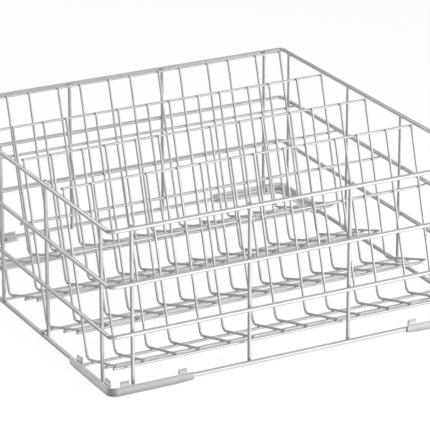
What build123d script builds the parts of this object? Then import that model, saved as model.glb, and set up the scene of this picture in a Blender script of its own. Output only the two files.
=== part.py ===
from build123d import *
import math
import os

os.makedirs("parts", exist_ok=True)

# Dishwasher glass rack, all sizes in mm.
# X runs across the rack, Y from front to back, Z up; the glides stand on Z = 0.

# Frame of rings and uprights
rack_width = 500.0
rack_height = 202.9
lower_ring_height = 71.8
upper_ring_height = 133.3
ring_wire = 5.2
ring_corner_radius = 7.0
upright_wire = 4.6
upright_trim = 0.6
upright_clearance = 0.1
corner_to_upright = 29.4
corner_to_side_upright = 34.2
hand_span = 133.0
third_upright_step = 13.9
weld_gap = 0.02
wire_end_inset = 0.4

# Comb rows, front row first
row_count = 4
prong_wire = 3.0
prong_bend_radius = 6.5
prong_head_rise = 0.9
top_rail_wire = 3.0
floor_wire = 3.7
lean_run = 57.8
heel_length = 13.2
leg_angle = 18.0
front_leg_angle = 15.2
front_leg_reach = 67.7
leg_setback = 29.9
middle_wire_reach = 41.6
leg_overhang = 8.9
front_leg_overhang = 6.3
row_back_clearance = 3.0
row_front_clearance = 3.5
prong_side_clearance = 3.0
floor_wire_overhang = 1.2
glass_gap = 40.9
narrow_gap = 30.7
least_end_gap = 20.0

# Corner glides
sole_thickness = 2.3
sole_inner_reach = 6.5
sole_inner_radius = 13.0
glide_wall = 2.0
glide_wall_height = 10.5
glide_clearance = 0.1
glide_arm = 108.0
glide_edge_chamfer = 0.7
ramp_length = 24.0
ramp_rise = 1.7
tab_length = 10.0
tab_thickness = 2.6
tab_height = 13.6
tab_bevel = 1.1
tab_wire_gap = 0.4
tab_upright_gap = 3.0
hook_reach = 1.4
hook_lip = 0.9

# Half the rings' width and the levels of their wires
half = rack_width / 2 - ring_wire / 2
base_level = sole_thickness + glide_clearance + ring_wire / 2
lower_level = lower_ring_height
upper_level = upper_ring_height
top_level = rack_height - ring_wire / 2

# The uprights stand inside the rings and touch them
upright_axis = half - ring_wire / 2 - weld_gap - upright_wire / 2
inner_face = upright_axis - upright_wire / 2
upright_foot = base_level - ring_wire / 2 + upright_trim
upright_head = top_level + ring_wire / 2 - upright_trim

# Shape of a prong seen from the side
floor_crossing = (prong_wire + floor_wire) / 2 + weld_gap
top_crossing = (prong_wire + top_rail_wire) / 2 + weld_gap
rear_wire_z = base_level + (ring_wire + floor_wire) / 2 + weld_gap
lower_rail_z = upper_level - (ring_wire + floor_wire) / 2 - weld_gap
prong_head_z = rack_height + prong_head_rise


class Row:
    """Side view of one comb row, measured from its rear floor wire."""

    def __init__(self, angle, reach, overhang):
        slope = math.radians(angle)
        self.forward = (-math.cos(slope), math.sin(slope))
        self.lift = (math.sin(slope), math.cos(slope))
        self.seat = (self.lift[0] * floor_crossing, rear_wire_z + self.lift[1] * floor_crossing)
        self.corner = self.along_leg(-heel_length)
        self.tip = self.along_leg(reach)
        self.lean = math.atan2(lean_run, prong_head_z - self.corner[1])
        self.head = (self.corner[0] + lean_run, prong_head_z)
        self.wire_reaches = (0.0, middle_wire_reach, reach - overhang)

    def along_leg(self, distance):
        return (self.seat[0] + self.forward[0] * distance, self.seat[1] + self.forward[1] * distance)

    def floor_wire_at(self, distance):
        y, z = self.along_leg(distance)
        return (y - self.lift[0] * floor_crossing, z - self.lift[1] * floor_crossing)

    def top_rail_at(self):
        drop = top_rail_wire / 2
        y = self.head[0] - math.sin(self.lean) * drop + math.cos(self.lean) * top_crossing
        z = self.head[1] - math.cos(self.lean) * drop - math.sin(self.lean) * top_crossing
        return (y, z)

    def lower_rail_at(self):
        run = (lower_rail_z - self.corner[1]) * math.tan(self.lean)
        return (self.corner[0] + run + floor_crossing / math.cos(self.lean), lower_rail_z)


# The back row stands against the back uprights, the front row ends short of the front ones
front_row = Row(front_leg_angle, front_leg_reach, front_leg_overhang)
back_row_shape = Row(leg_angle, front_leg_reach, front_leg_overhang)
front_row_y = -inner_face + row_front_clearance - front_row.tip[0]
back_row_y = inner_face - row_back_clearance - top_rail_wire / 2 - back_row_shape.top_rail_at()[0]
row_pitch = (back_row_y - front_row_y) / (row_count - 1)
leg_reach = (row_pitch - leg_setback) / math.cos(math.radians(leg_angle))
standard_row = Row(leg_angle, leg_reach, leg_overhang)

# Prongs across the rack: a wide gap for each glass between narrow ones
end_prong_x = inner_face - prong_side_clearance - prong_wire / 2
glass_pitch = glass_gap + narrow_gap
glasses_in_row = math.floor((2 * (end_prong_x - least_end_gap) + narrow_gap) / glass_pitch)
prong_xs = [-end_prong_x]
for glass in range(glasses_in_row):
    middle = (glass - (glasses_in_row - 1) / 2) * glass_pitch
    prong_xs.append(middle - glass_gap / 2)
    prong_xs.append(middle + glass_gap / 2)
prong_xs.append(end_prong_x)

# Uprights along a face, and along a side, where they keep clear of the wires that run out to the rings
outer_upright = half - corner_to_upright
inner_upright = hand_span / 2
face_uprights = (-outer_upright, -inner_upright, inner_upright, outer_upright)
side_step = (floor_wire + upright_wire) / 2 + upright_clearance
side_uprights = (
    corner_to_side_upright - half,
    front_row_y + row_pitch - side_step,
    front_row_y + 2 * row_pitch + third_upright_step,
    back_row_y + standard_row.lower_rail_at()[0] + side_step,
)

long_wire = rack_width - 2 * wire_end_inset
flush_wire = 2 * end_prong_x + prong_wire
short_wire = flush_wire + 2 * floor_wire_overhang


def save(piece, node):
    piece.part.label = node
    export_step(piece.part, "parts/" + node + ".step")


def wire_ring(node, level):
    with BuildPart() as ring:
        with BuildLine(Plane.XY.offset(level)) as loop:
            corners = [(-half, -half), (half, -half), (half, half), (-half, half)]
            FilletPolyline(*corners, radius=ring_corner_radius, close=True)
        with BuildSketch(Plane(origin=loop.line @ 0, z_dir=loop.line % 0)):
            Circle(ring_wire / 2)
        sweep(path=loop.line)
    save(ring, node)


def upright(node, x, y):
    with BuildPart() as post:
        with BuildSketch(Plane.XY.offset(upright_foot)):
            with Locations((x, y)):
                Circle(upright_wire / 2)
        extrude(amount=upright_head - upright_foot)
    save(post, node)


def cross_wire(node, diameter, length, y, z):
    with BuildPart() as rod:
        with BuildSketch(Plane(origin=(-length / 2, y, z), x_dir=(0, 1, 0), z_dir=(1, 0, 0))):
            Circle(diameter / 2)
        extrude(amount=length)
    save(rod, node)


def prongs(node, row, y):
    side = Plane(origin=(0, y, 0), x_dir=(0, 1, 0), z_dir=(1, 0, 0))
    head = side.from_local_coords((row.head[0], row.head[1], 0))
    down = (0, -math.sin(row.lean), -math.cos(row.lean))
    with BuildPart() as prong:
        with BuildLine(side):
            FilletPolyline(row.head, row.corner, row.tip, radius=prong_bend_radius)
        with BuildSketch(Plane(origin=head, x_dir=(1, 0, 0), z_dir=down)):
            Circle(prong_wire / 2)
        sweep()
    with BuildPart() as comb:
        with Locations(*[(x, 0, 0) for x in prong_xs]):
            add(prong.part)
    save(comb, node)


wire_ring("base_ring", base_level)
wire_ring("lower_ring", lower_level)
wire_ring("upper_ring", upper_level)
wire_ring("top_ring", top_level)

for count, x in enumerate(face_uprights, start=1):
    upright(f"front_upright_{count}", x, -upright_axis)
    upright(f"back_upright_{count}", x, upright_axis)
for count, y in enumerate(side_uprights, start=1):
    upright(f"left_upright_{count}", -upright_axis, y)
    upright(f"right_upright_{count}", upright_axis, y)

for number in range(1, row_count + 1):
    row = front_row if number == 1 else standard_row
    row_y = front_row_y + (number - 1) * row_pitch
    prongs(f"row_{number}_prongs", row, row_y)
    rail_y, rail_z = row.top_rail_at()
    cross_wire(f"row_{number}_top_rail", top_rail_wire, flush_wire, row_y + rail_y, rail_z)
    rail_y, rail_z = row.lower_rail_at()
    cross_wire(f"row_{number}_lower_rail", floor_wire, long_wire, row_y + rail_y, rail_z)
    lengths = (long_wire, short_wire, flush_wire)
    for place, reach, length in zip(("rear", "middle", "front"), row.wire_reaches, lengths):
        wire_y, wire_z = row.floor_wire_at(reach)
        cross_wire(f"row_{number}_{place}_floor_wire", floor_wire, length, row_y + wire_y, wire_z)

# One moulded glide, drawn at the front left corner
channel = ring_wire / 2 + glide_clearance
glide_out = half + channel + glide_wall
glide_corner = ring_corner_radius + channel + glide_wall
wall_in = half + channel
sole_in = half - sole_inner_reach
arm_end = glide_out - glide_arm
arm_middle = -(glide_out + arm_end) / 2
far_tab = back_row_y - floor_wire / 2 - tab_wire_gap - tab_length / 2
near_tab = max(outer_upright, side_uprights[-1]) + upright_wire / 2 + tab_upright_gap + tab_length / 2
wire_top = base_level + ring_wire / 2 + glide_clearance
tab_outline = [
    (channel, 0),
    (channel, wire_top),
    (channel - hook_reach, wire_top),
    (channel - hook_reach, wire_top + hook_lip),
    (channel, tab_height - tab_bevel),
    (channel + tab_bevel / 2, tab_height),
    (channel + tab_thickness - tab_bevel, tab_height),
    (channel + tab_thickness, tab_height - tab_bevel),
    (channel + tab_thickness, 0),
]
ramp_outline = [
    (arm_end + ramp_length, 0),
    (arm_end, ramp_rise),
    (arm_end, -ramp_rise),
    (arm_end + ramp_length, -ramp_rise),
]

with BuildPart() as glide:
    with BuildSketch(Plane.XY):
        RectangleRounded(2 * glide_out, 2 * glide_out, glide_corner)
        RectangleRounded(2 * sole_in, 2 * sole_in, sole_inner_radius, mode=Mode.SUBTRACT)
        with Locations((arm_middle, arm_middle)):
            Rectangle(glide_arm, glide_arm, mode=Mode.INTERSECT)
    extrude(amount=sole_thickness)
    with BuildSketch(Plane.XY):
        RectangleRounded(2 * glide_out, 2 * glide_out, glide_corner)
        RectangleRounded(2 * wall_in, 2 * wall_in, ring_corner_radius + channel, mode=Mode.SUBTRACT)
        with Locations((arm_middle, arm_middle)):
            Rectangle(glide_arm, glide_arm, mode=Mode.INTERSECT)
    extrude(amount=glide_wall_height)
    sole_rim = glide.edges().filter_by_position(Axis.Z, 0, 0)
    outer_rim = sole_rim.filter_by(lambda e: min(e.center().X, e.center().Y) < -wall_in)
    bends = sole_rim.filter_by(GeomType.CIRCLE)
    outer_bend = bends.filter_by(lambda e: abs(e.radius - glide_corner) < weld_gap)
    chamfer(outer_rim + outer_bend, glide_edge_chamfer)
    for spot in (far_tab, near_tab):
        with BuildSketch(Plane(origin=(-spot, -half, 0), x_dir=(0, 1, 0), z_dir=(1, 0, 0))):
            with BuildLine():
                Polyline(*tab_outline, close=True)
            make_face()
        extrude(amount=tab_length / 2, both=True)
        with BuildSketch(Plane(origin=(-half, -spot, 0), x_dir=(1, 0, 0), z_dir=(0, -1, 0))):
            with BuildLine():
                Polyline(*tab_outline, close=True)
            make_face()
        extrude(amount=tab_length / 2, both=True)
    with BuildSketch(Plane(origin=(0, -half, 0), x_dir=(-1, 0, 0), z_dir=(0, 1, 0))):
        with BuildLine():
            Polyline(*ramp_outline, close=True)
        make_face()
    extrude(amount=2 * sole_inner_reach, both=True, mode=Mode.SUBTRACT)
    with BuildSketch(Plane(origin=(-half, 0, 0), x_dir=(0, -1, 0), z_dir=(-1, 0, 0))):
        with BuildLine():
            Polyline(*ramp_outline, close=True)
        make_face()
    extrude(amount=2 * sole_inner_reach, both=True, mode=Mode.SUBTRACT)

for quarter, corner in enumerate(("front_left", "front_right", "back_right", "back_left")):
    with BuildPart() as corner_glide:
        with Locations(Location((0, 0, 0), (0, 0, 90 * quarter))):
            add(glide.part)
    save(corner_glide, corner + "_glide")
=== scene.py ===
import math
import bmesh
import bpy
from mathutils import Matrix, Vector, noise
from mathutils.bvhtree import BVHTree


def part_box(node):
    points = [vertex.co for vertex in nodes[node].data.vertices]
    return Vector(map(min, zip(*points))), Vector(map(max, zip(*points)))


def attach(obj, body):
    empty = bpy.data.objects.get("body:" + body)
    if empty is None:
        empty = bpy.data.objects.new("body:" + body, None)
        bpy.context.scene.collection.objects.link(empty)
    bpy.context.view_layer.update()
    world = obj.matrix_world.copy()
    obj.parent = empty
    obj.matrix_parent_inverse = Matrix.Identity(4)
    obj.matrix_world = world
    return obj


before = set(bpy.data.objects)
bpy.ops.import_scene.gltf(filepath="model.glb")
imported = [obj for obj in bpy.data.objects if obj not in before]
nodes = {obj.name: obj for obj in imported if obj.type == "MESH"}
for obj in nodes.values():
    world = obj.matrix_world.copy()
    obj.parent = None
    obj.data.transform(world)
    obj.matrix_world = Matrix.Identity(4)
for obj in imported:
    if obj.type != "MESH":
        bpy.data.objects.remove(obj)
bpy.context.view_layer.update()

MM = 0.001
ACROSS, DEEP, UP = Vector((1, 0, 0)), Vector((0, 1, 0)), Vector((0, 0, 1))

# Camera: seen from the front left and above through a long lens
VIEW_AZIMUTH = -27.82
VIEW_ELEVATION = 21.08
VIEW_ROLL = -0.05
VIEW_DISTANCE = 3.597
VIEW_LENS = 243.8
VIEW_AIM = Vector((0.0, 0.0, 0.096))
VIEW_SIDESTEP = 0.01438
VIEW_LIFT = -0.00301

# Light from the right: how bright the wires mirror the floor's painted light and the room, away from it and
# towards it
LIGHT_SIDE = Vector((0.97, -0.25, 0.0))
FLOOR_PAINTED_LIGHT = (0.20, 1.48)
ROOM_LOOK = (0.26, 0.78)
# Painted shade in the floor's glow under the rack, as the wires mirror it: its share of that at the middle,
# and where it begins to clear and is clear
SHADE_LOOK = 0.57
SHADE_REACH = (0.19, 0.31)
# Share of the sheet that glows where it is seen; the rest is matt and takes the rack's shadow
PAPER_GLOW = 0.92
# Share of its light that the sheet doesn't throw back onto the rack
BOUNCE_CUT = 0.7
SHEET_RADIUS = 14.0

# Scale of the draw lines along a wire, where it is 1 across it
DRAW_SCALE = 0.03

# Painted shade on the glides' skin, where 0 is shaded grey and 1 is unshaded
CORNER_UNSHADED = 0.3
TAB_UNSHADED = 0.25
# Centre of a glide's rounded corner; its height is above every point, so that heights don't count
CORNER_CENTRE = (240.4 * MM, 240.4 * MM, 1.0)
# How far out from there the inner skin ends and the outer begins, whose faces lie 11.7 mm out
SKIN_TURNS = (10.4 * MM, 11.2 * MM)
# How far round the corner, from either side, its painted shade begins and is full
CORNER_TURNS = (1 * MM, 6 * MM)
# Heights at which the painted shade along the foot begins to clear and ends, and how far its clouds may lower
# them
FOOT_CLEARS = (1.5 * MM, 8 * MM)
CLOUD_DROP = 4 * MM
# Heights at which the painted shade on the rim and tabs begins and is full, and how much higher they are on
# the inner skin
RIM_GREYS = (8.8 * MM, 10.2 * MM)
INNER_RISE = 1.5 * MM

# Weld beads and sheared ends: half sizes along the face they lie on, how far they rise, how lumpy they are
BEAD_REACH = 1.7 * MM
BEAD_RISE = 0.8 * MM
END_RISE = 0.35 * MM
LUMP = 0.22
# Steps through the noise, per half size of a bead and per metre from one bead to the next
LUMP_STEP = 1.6
BEAD_STEP = 900

# How a comb's mesh shows its prongs: by what lies near its top or front, by the gaps between heads, and by
# faces that lie near a prong's middle and are cut to the front
EDGE_BAND = 1 * MM
HEAD_GAP = 5 * MM
PRONG_REACH = 3 * MM
TIP_FACING = -0.9


def linear(code):
    """An sRGB hex colour as linear RGBA."""
    parts = [int(code[i:i + 2], 16) / 255 for i in (1, 3, 5)]
    return tuple(c / 12.92 if c <= 0.04045 else ((c + 0.055) / 1.055) ** 2.4 for c in parts) + (1.0,)


def add(tree, kind, links=(), inputs=(), stops=(), **settings):
    """One shader node: its links as (socket, output), input values, a ramp's two stops and other settings."""
    made = tree.nodes.new(kind)
    for name, value in settings.items():
        setattr(made, name, value)
    for socket, value in dict(inputs).items():
        made.inputs[socket].default_value = value
    for socket, source in links:
        tree.links.new(source, made.inputs[socket])
    for i, (place, code) in enumerate(stops):
        made.color_ramp.elements[i].position = place
        made.color_ramp.elements[i].color = linear(code)
    return made


def blank(name):
    """A new material with an empty node tree."""
    mat = bpy.data.materials.new(name)
    mat.use_nodes = True
    mat.node_tree.nodes.clear()
    return mat, mat.node_tree


def drawn_stainless(name, stretch):
    """Stainless wire drawn through a die, then pickled: satin grey, with faint lines along the draw."""
    mat, tree = blank(name)
    place = add(tree, "ShaderNodeTexCoord").outputs["Object"]
    along = add(tree, "ShaderNodeMapping", [("Vector", place)], {"Scale": stretch}).outputs["Vector"]
    # draw lines about 0.5 mm apart, coarser than the real ones so that they show
    lines = add(tree, "ShaderNodeTexNoise", [("Vector", along)],
                {"Scale": 1 / (0.5 * MM), "Detail": 3.0}).outputs["Fac"]
    # cloudy pickling stain in patches about 18 mm across
    stain = add(tree, "ShaderNodeTexNoise", [("Vector", place)],
                {"Scale": 1 / (18 * MM), "Detail": 2.0}).outputs["Fac"]
    tone = add(tree, "ShaderNodeValToRGB", [("Fac", stain)], stops=[(0.3, "#dadad9"), (0.7, "#e4e4e4")])
    gloss = add(tree, "ShaderNodeMapRange", [("Value", lines)], {"To Min": 0.24, "To Max": 0.36})
    relief = add(tree, "ShaderNodeBump", [("Height", lines)], {"Strength": 0.12, "Distance": 0.05 * MM})
    metal = add(tree, "ShaderNodeBsdfPrincipled",
                [("Base Color", tone.outputs["Color"]), ("Roughness", gloss.outputs["Result"]),
                 ("Normal", relief.outputs["Normal"])], {"Metallic": 1.0})
    add(tree, "ShaderNodeOutputMaterial", [("Surface", metal.outputs["BSDF"])])
    return mat


def pickled_weld(name):
    """Spot weld squeezed out between two wires and pickled: duller and a little darker than the wire."""
    mat, tree = blank(name)
    place = add(tree, "ShaderNodeTexCoord").outputs["Object"]
    # pits about 0.4 mm across
    pits = add(tree, "ShaderNodeTexNoise", [("Vector", place)],
               {"Scale": 1 / (0.4 * MM), "Detail": 3.0}).outputs["Fac"]
    tone = add(tree, "ShaderNodeValToRGB", [("Fac", pits)], stops=[(0.3, "#a9a8a6"), (0.7, "#c6c5c4")])
    relief = add(tree, "ShaderNodeBump", [("Height", pits)], {"Strength": 0.35, "Distance": 0.1 * MM})
    metal = add(tree, "ShaderNodeBsdfPrincipled",
                [("Base Color", tone.outputs["Color"]), ("Normal", relief.outputs["Normal"])],
                {"Metallic": 1.0, "Roughness": 0.5})
    add(tree, "ShaderNodeOutputMaterial", [("Surface", metal.outputs["BSDF"])])
    return mat


def sheared_stainless(name):
    """Wire end left by the shear: torn and dull, so it shows no clear highlight."""
    mat, tree = blank(name)
    place = add(tree, "ShaderNodeTexCoord").outputs["Object"]
    # torn grain about 0.3 mm
    torn = add(tree, "ShaderNodeTexNoise", [("Vector", place)],
               {"Scale": 1 / (0.3 * MM), "Detail": 2.0}).outputs["Fac"]
    tone = add(tree, "ShaderNodeValToRGB", [("Fac", torn)], stops=[(0.3, "#acacab"), (0.7, "#d0d0cf")])
    relief = add(tree, "ShaderNodeBump", [("Height", torn)], {"Strength": 0.4, "Distance": 0.1 * MM})
    metal = add(tree, "ShaderNodeBsdfPrincipled",
                [("Base Color", tone.outputs["Color"]), ("Normal", relief.outputs["Normal"])],
                {"Metallic": 1.0, "Roughness": 0.42})
    add(tree, "ShaderNodeOutputMaterial", [("Surface", metal.outputs["BSDF"])])
    return mat


def moulded_acetal(name):
    """Acetal moulded in a spark-eroded tool: light grey, finely grained and waxy, with painted shade greying
    its foot, rounded corners, outer rim and tabs.
    """
    mat, tree = blank(name)
    place = add(tree, "ShaderNodeTexCoord").outputs["Object"]
    height = add(tree, "ShaderNodeSeparateXYZ", [("Vector", place)]).outputs["Z"]
    # mould grain about 0.6 mm, coarser than the real one so that it shows
    grain = add(tree, "ShaderNodeTexNoise", [("Vector", place)],
                {"Scale": 1 / (0.6 * MM), "Detail": 4.0}).outputs["Fac"]
    # painted shade along the foot, broken into clouds about 9 mm across
    cloud = add(tree, "ShaderNodeTexNoise", [("Vector", place)],
                {"Scale": 1 / (9 * MM), "Detail": 5.0}).outputs["Fac"]
    clear = add(tree, "ShaderNodeMath", [(0, cloud), (2, height)], {1: CLOUD_DROP},
                operation="MULTIPLY_ADD").outputs[0]
    above = add(tree, "ShaderNodeMapRange", [("Value", clear)],
                {"From Min": FOOT_CLEARS[0], "From Max": FOOT_CLEARS[1]}).outputs["Result"]
    # painted shade, strongest on the rounded corners
    spread = add(tree, "ShaderNodeVectorMath", [(0, place)], operation="ABSOLUTE").outputs["Vector"]
    spread = add(tree, "ShaderNodeVectorMath", [(0, spread)], {1: CORNER_CENTRE},
                 operation="SUBTRACT").outputs["Vector"]
    spread = add(tree, "ShaderNodeVectorMath", [(0, spread)], {1: (0, 0, 0)},
                 operation="MAXIMUM").outputs["Vector"]
    sides = add(tree, "ShaderNodeSeparateXYZ", [("Vector", spread)]).outputs
    bend = add(tree, "ShaderNodeMath", [(0, sides["X"]), (1, sides["Y"])], operation="MINIMUM").outputs[0]
    corner = add(tree, "ShaderNodeMapRange", [("Value", bend)],
                 {"From Min": CORNER_TURNS[0], "From Max": CORNER_TURNS[1],
                  "To Min": 1.0, "To Max": CORNER_UNSHADED}).outputs["Result"]
    above = add(tree, "ShaderNodeMath", [(0, above), (1, corner)], operation="MULTIPLY").outputs[0]
    # no painted shade on the inner faces
    out = add(tree, "ShaderNodeVectorMath", [(0, spread)], operation="LENGTH").outputs["Value"]
    inside = add(tree, "ShaderNodeMapRange", [("Value", out)],
                 {"From Min": SKIN_TURNS[0], "From Max": SKIN_TURNS[1],
                  "To Min": 1.0, "To Max": 0.0}).outputs["Result"]
    unshaded = add(tree, "ShaderNodeMath", [(0, above), (1, inside)], operation="MAXIMUM").outputs[0]
    # painted shade on the wall's outer rim and on the tabs that stand above it
    level = add(tree, "ShaderNodeMath", [(0, inside), (2, height)], {1: -INNER_RISE},
                operation="MULTIPLY_ADD").outputs[0]
    rim_unshaded = add(tree, "ShaderNodeMapRange", [("Value", level)],
                  {"From Min": RIM_GREYS[0], "From Max": RIM_GREYS[1],
                   "To Min": 1.0, "To Max": TAB_UNSHADED}).outputs["Result"]
    unshaded = add(tree, "ShaderNodeMath", [(0, unshaded), (1, rim_unshaded)], operation="MULTIPLY").outputs[0]
    # painted shade greys the acetal from #dadad9 down to #a6a6a5
    tone = add(tree, "ShaderNodeValToRGB", [("Fac", unshaded)], stops=[(0.0, "#a6a6a5"), (1.0, "#dadad9")])
    gloss = add(tree, "ShaderNodeMapRange", [("Value", grain)], {"To Min": 0.38, "To Max": 0.52})
    relief = add(tree, "ShaderNodeBump", [("Height", grain)], {"Strength": 0.25, "Distance": 0.1 * MM})
    plastic = add(tree, "ShaderNodeBsdfPrincipled",
                  [("Base Color", tone.outputs["Color"]), ("Roughness", gloss.outputs["Result"]),
                   ("Normal", relief.outputs["Normal"])], {"IOR": 1.48})
    add(tree, "ShaderNodeOutputMaterial", [("Surface", plastic.outputs["BSDF"])])
    return mat


wire_across = drawn_stainless("stainless_wire_drawn_across", (DRAW_SCALE, 1, 1))
wire_upright = drawn_stainless("stainless_wire_drawn_upright", (1, 1, DRAW_SCALE))
wire_bent = drawn_stainless("stainless_wire_drawn_and_bent", (1, 1, 1))
weld = pickled_weld("stainless_weld_pickled")
sheared = sheared_stainless("stainless_wire_end_sheared")
acetal = moulded_acetal("acetal_moulded_light_grey")

for name, obj in nodes.items():
    if name.endswith("_glide"):
        finish = acetal
    elif "upright" in name:
        finish = wire_upright
    elif name.endswith(("_ring", "_prongs")):
        finish = wire_bent
    else:
        finish = wire_across
    for slot in obj.material_slots:
        slot.material = finish


def middle_and_radius(node):
    """The middle of a straight or ring wire, and half its thickness."""
    low, high = (Vector(c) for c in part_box(node))
    return (low + high) / 2, min(high - low) / 2


def end_of(radius):
    """Half sizes of a wire's torn end."""
    return Vector((radius, radius, END_RISE))


def lump(spot, first, second, size):
    """Points of a lumpy flattened bead at a spot, lying along two directions."""
    turn = Matrix((first, second, first.cross(second))).transposed()
    for point in ball_points:
        swell = 1 + LUMP * noise.noise(point * LUMP_STEP + spot * BEAD_STEP)
        yield spot + turn @ (point * size) * swell


def lumpy_piece(name, finish, lumps):
    """All the beads or ends of one group of wires as one piece."""
    points, faces = [], []
    for spot, first, second, size in lumps:
        faces += [[corner + len(points) for corner in face] for face in ball_faces]
        points += lump(spot, first, second, size)
    mesh = bpy.data.meshes.new(name)
    mesh.from_pydata(points, [], faces)
    mesh.shade_smooth()
    mesh.materials.append(finish)
    piece = bpy.data.objects.new(name, mesh)
    bpy.context.scene.collection.objects.link(piece)
    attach(piece, "root")


ball = bmesh.new()
bmesh.ops.create_icosphere(ball, subdivisions=3, radius=1.0)
ball_points = [vert.co.copy() for vert in ball.verts]
ball_faces = [[vert.index for vert in face.verts] for face in ball.faces]
ball.free()

bead = Vector((BEAD_REACH, BEAD_REACH, BEAD_RISE))
ring_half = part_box("top_ring")[1][0] - middle_and_radius("top_ring")[1]
rows = sorted({name.split("_")[1] for name in nodes if name.startswith("row_")})
row_beads, frame_beads, row_ends, frame_ends = [], [], [], []

for row in rows:
    # Beads of the prongs on their row's wires, and those wires' ends
    comb = nodes[f"row_{row}_prongs"].data
    surface = BVHTree.FromPolygons([v.co for v in comb.vertices], [p.vertices for p in comb.polygons])
    top = max(v.co.z for v in comb.vertices)
    heads = sorted(v.co.x for v in comb.vertices if v.co.z > top - EDGE_BAND)
    starts = [i for i, x in enumerate(heads) if i == 0 or x - heads[i - 1] > HEAD_GAP]
    prong_xs = [(heads[a] + heads[b - 1]) / 2 for a, b in zip(starts, starts[1:] + [len(heads)])]
    wires = [name for name in nodes if name.startswith(f"row_{row}_") and not name.endswith("_prongs")]
    for wire in wires:
        axis, radius = middle_and_radius(wire)
        for x in prong_xs:
            centre = Vector((x, axis.y, axis.z))
            near = surface.find_nearest(centre)[0]
            facing = Vector((0, near.y - axis.y, near.z - axis.z)).normalized()
            row_beads.append((centre + facing * radius, ACROSS, ACROSS.cross(facing), bead))
        for side in (-1, 1):
            spot = Vector((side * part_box(wire)[1][0], axis.y, axis.z))
            row_ends.append((spot, DEEP, UP, end_of(radius)))
    # Tips of the prongs' legs
    front = min(v.co.y for v in comb.vertices)
    cuts = [f for f in comb.polygons if f.normal.y < TIP_FACING and f.center.y < front + EDGE_BAND]
    slope = sum((f.normal * f.area for f in cuts), Vector()).normalized()
    for x in prong_xs:
        near = [f for f in cuts if abs(f.center.x - x) < PRONG_REACH]
        area = sum(f.area for f in near)
        spot = sum((f.center * f.area for f in near), Vector()) / area
        row_ends.append((spot, ACROSS, slope.cross(ACROSS), end_of(math.sqrt(area / math.pi))))
    # Beads of the rear floor wire on the base ring and of the lower rail under the upper ring
    for wire, upward in ((f"row_{row}_rear_floor_wire", -1), (f"row_{row}_lower_rail", 1)):
        axis, radius = middle_and_radius(wire)
        for side in (-1, 1):
            spot = Vector((side * ring_half, axis.y, axis.z + upward * radius))
            row_beads.append((spot, ACROSS, DEEP, bead))

# Beads of the uprights inside the rings, and the uprights' ends
for name in nodes:
    if "_upright_" in name:
        axis, radius = middle_and_radius(name)
        outward = {"front": -DEEP, "back": DEEP, "left": -ACROSS, "right": ACROSS}[name.split("_")[0]]
        for ring in ("base_ring", "lower_ring", "upper_ring", "top_ring"):
            level = middle_and_radius(ring)[0].z
            spot = Vector((axis.x, axis.y, level)) + outward * radius
            frame_beads.append((spot, UP, UP.cross(outward), bead))
        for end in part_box(name):
            frame_ends.append((Vector((axis.x, axis.y, end[2])), ACROSS, DEEP, end_of(radius)))

lumpy_piece("row_weld_beads", weld, row_beads)
lumpy_piece("frame_weld_beads", weld, frame_beads)
lumpy_piece("row_sheared_ends", sheared, row_ends)
lumpy_piece("frame_sheared_ends", sheared, frame_ends)

# Floor: a wide sheet of white paper that takes the rack's soft shadow; its glow, as the wires mirror it,
# holds painted light and painted shade
floor_mesh = bpy.data.meshes.new("floor_sheet")
disc = bmesh.new()
bmesh.ops.create_circle(disc, cap_ends=True, segments=96, radius=SHEET_RADIUS)
disc.to_mesh(floor_mesh)
disc.free()
floor = bpy.data.objects.new("floor_sheet", floor_mesh)
bpy.context.scene.collection.objects.link(floor)
paper, tree = blank("white_studio_paper")
ray = add(tree, "ShaderNodeLightPath").outputs
point = add(tree, "ShaderNodeNewGeometry").outputs
mirrored = add(tree, "ShaderNodeMath", [(0, ray["Is Glossy Ray"]), (1, ray["Is Transmission Ray"])],
               operation="MAXIMUM").outputs[0]
seen = add(tree, "ShaderNodeMath", [(0, ray["Is Camera Ray"]), (1, mirrored)],
           operation="MAXIMUM").outputs[0]
# painted light: the sheet glows paler to the wires' mirrored rays towards the light and darker away from it;
# this goes by the way that the mirrored ray takes, and to the camera the sheet is the same white from
# everywhere
toward = add(tree, "ShaderNodeVectorMath", [(0, point["Incoming"])], {1: -LIGHT_SIDE},
             operation="DOT_PRODUCT").outputs["Value"]
fall = add(tree, "ShaderNodeMapRange", [("Value", toward)],
           {"From Min": -1.0, "From Max": 1.0,
            "To Min": FLOOR_PAINTED_LIGHT[0], "To Max": FLOOR_PAINTED_LIGHT[1]}).outputs["Result"]
# painted shade: they mirror it darker under the rack
sides = add(tree, "ShaderNodeVectorMath", [(0, point["Position"])], operation="ABSOLUTE").outputs["Vector"]
sides = add(tree, "ShaderNodeSeparateXYZ", [(0, sides)]).outputs
out = add(tree, "ShaderNodeMath", [(0, sides["X"]), (1, sides["Y"])], operation="MAXIMUM").outputs[0]
shade = add(tree, "ShaderNodeMapRange", [("Value", out)],
            {"From Min": SHADE_REACH[0], "From Max": SHADE_REACH[1],
             "To Min": SHADE_LOOK}).outputs["Result"]
shaded = add(tree, "ShaderNodeMath", [(0, fall), (1, shade)], operation="MULTIPLY").outputs[0]
strength = add(tree, "ShaderNodeMath", [(0, mirrored), (1, shaded), (2, ray["Is Camera Ray"])],
               operation="MULTIPLY_ADD").outputs[0]
glow = add(tree, "ShaderNodeEmission", [("Strength", strength)])
matt = add(tree, "ShaderNodeBsdfDiffuse", inputs={"Color": linear("#f2f2f2")})
share = add(tree, "ShaderNodeMath", [(0, seen)], {1: PAPER_GLOW}, operation="MULTIPLY").outputs[0]
# the glow is dark to the glides, so its share of the sheet throws no light onto them
share = add(tree, "ShaderNodeMath", [(0, ray["Is Diffuse Ray"]), (2, share)], {1: BOUNCE_CUT},
            operation="MULTIPLY_ADD").outputs[0]
both = add(tree, "ShaderNodeMixShader",
           [(0, share), (1, matt.outputs["BSDF"]), (2, glow.outputs["Emission"])])
add(tree, "ShaderNodeOutputMaterial", [("Surface", both.outputs["Shader"])])
floor_mesh.materials.append(paper)

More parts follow.
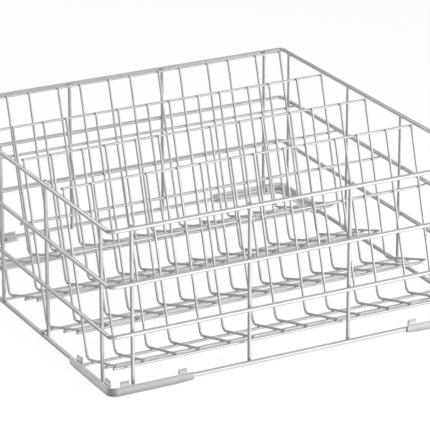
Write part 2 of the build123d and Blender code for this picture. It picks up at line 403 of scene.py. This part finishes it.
# Light: a pale room, brighter towards the right, two soft boxes that the wires mirror and three fills
world = bpy.data.worlds.new("studio_room")
bpy.context.scene.world = world
world.use_nodes = True
tree = world.node_tree
tree.nodes.clear()
way = add(tree, "ShaderNodeTexCoord").outputs["Generated"]
toward = add(tree, "ShaderNodeVectorMath", [(0, way)], {1: LIGHT_SIDE},
             operation="DOT_PRODUCT").outputs["Value"]
fall = add(tree, "ShaderNodeMapRange", [("Value", toward)],
           {"From Min": -1.0, "From Max": 1.0,
            "To Min": ROOM_LOOK[0], "To Max": ROOM_LOOK[1]}).outputs["Result"]
ray = add(tree, "ShaderNodeLightPath").outputs
level = add(tree, "ShaderNodeMath", [(0, fall), (1, ray["Is Camera Ray"])], operation="MAXIMUM").outputs[0]
room = add(tree, "ShaderNodeBackground", [("Strength", level)], {"Color": (1, 1, 1, 1)})
add(tree, "ShaderNodeOutputWorld", [("Surface", room.outputs["Background"])])


def soft_box(name, place, aim, width, height, radiance, mirrored=True):
    """A soft box facing a point; radiance 1 is as bright as white paper. The wires don't mirror a fill."""
    data = bpy.data.lights.new(name, "AREA")
    data.shape = "RECTANGLE"
    data.size, data.size_y = width, height
    data.energy = radiance * width * height * math.pi
    box = bpy.data.objects.new(name, data)
    bpy.context.scene.collection.objects.link(box)
    box.location = place
    box.rotation_euler = (Vector(aim) - Vector(place)).to_track_quat("-Z", "Y").to_euler()
    box.visible_camera = False
    box.visible_glossy = mirrored


soft_box("front_right_box", (0.55, -1.25, 0.30), (0.1, -0.1, 0.15), 1.2, 0.5, 1.4)
soft_box("back_left_box", (-0.60, 0.75, 0.95), (-0.25, -0.1, 0.1), 0.7, 0.6, 1.7)
soft_box("front_right_fill", (0.85, -1.2, 0.5), (0.1, 0.0, 0.0), 1.0, 0.6, 4.8, mirrored=False)
soft_box("back_left_fill", (-2.0, 1.6, 0.6), (0.0, 0.0, 0.0), 1.6, 1.0, 7.6, mirrored=False)
soft_box("top_fill", (0.1, -0.22, 0.9), (0.1, 0.1, 0.0), 0.6, 0.6, 5.5, mirrored=False)

# Camera
turn, tilt, roll = (math.radians(v) for v in (VIEW_AZIMUTH, VIEW_ELEVATION, VIEW_ROLL))
back = Vector((math.sin(turn) * math.cos(tilt), -math.cos(turn) * math.cos(tilt), math.sin(tilt)))
level_right = UP.cross(back).normalized()
level_up = back.cross(level_right)
right = level_right * math.cos(roll) + level_up * math.sin(roll)
up = level_up * math.cos(roll) - level_right * math.sin(roll)
camera_data = bpy.data.cameras.new("view_camera")
camera_data.sensor_width = 36.0
camera_data.sensor_fit = "HORIZONTAL"
camera_data.lens = VIEW_LENS
# past the far edge of the sheet
camera_data.clip_end = 60.0
camera = bpy.data.objects.new("view_camera", camera_data)
bpy.context.scene.collection.objects.link(camera)
stand = VIEW_AIM + right * VIEW_SIDESTEP + up * VIEW_LIFT + back * VIEW_DISTANCE
camera.matrix_world = Matrix.Translation(stand) @ Matrix((right, up, back)).transposed().to_4x4()
bpy.context.scene.camera = camera

bpy.context.scene.view_settings.view_transform = "Standard"

bpy.context.view_layer.update()
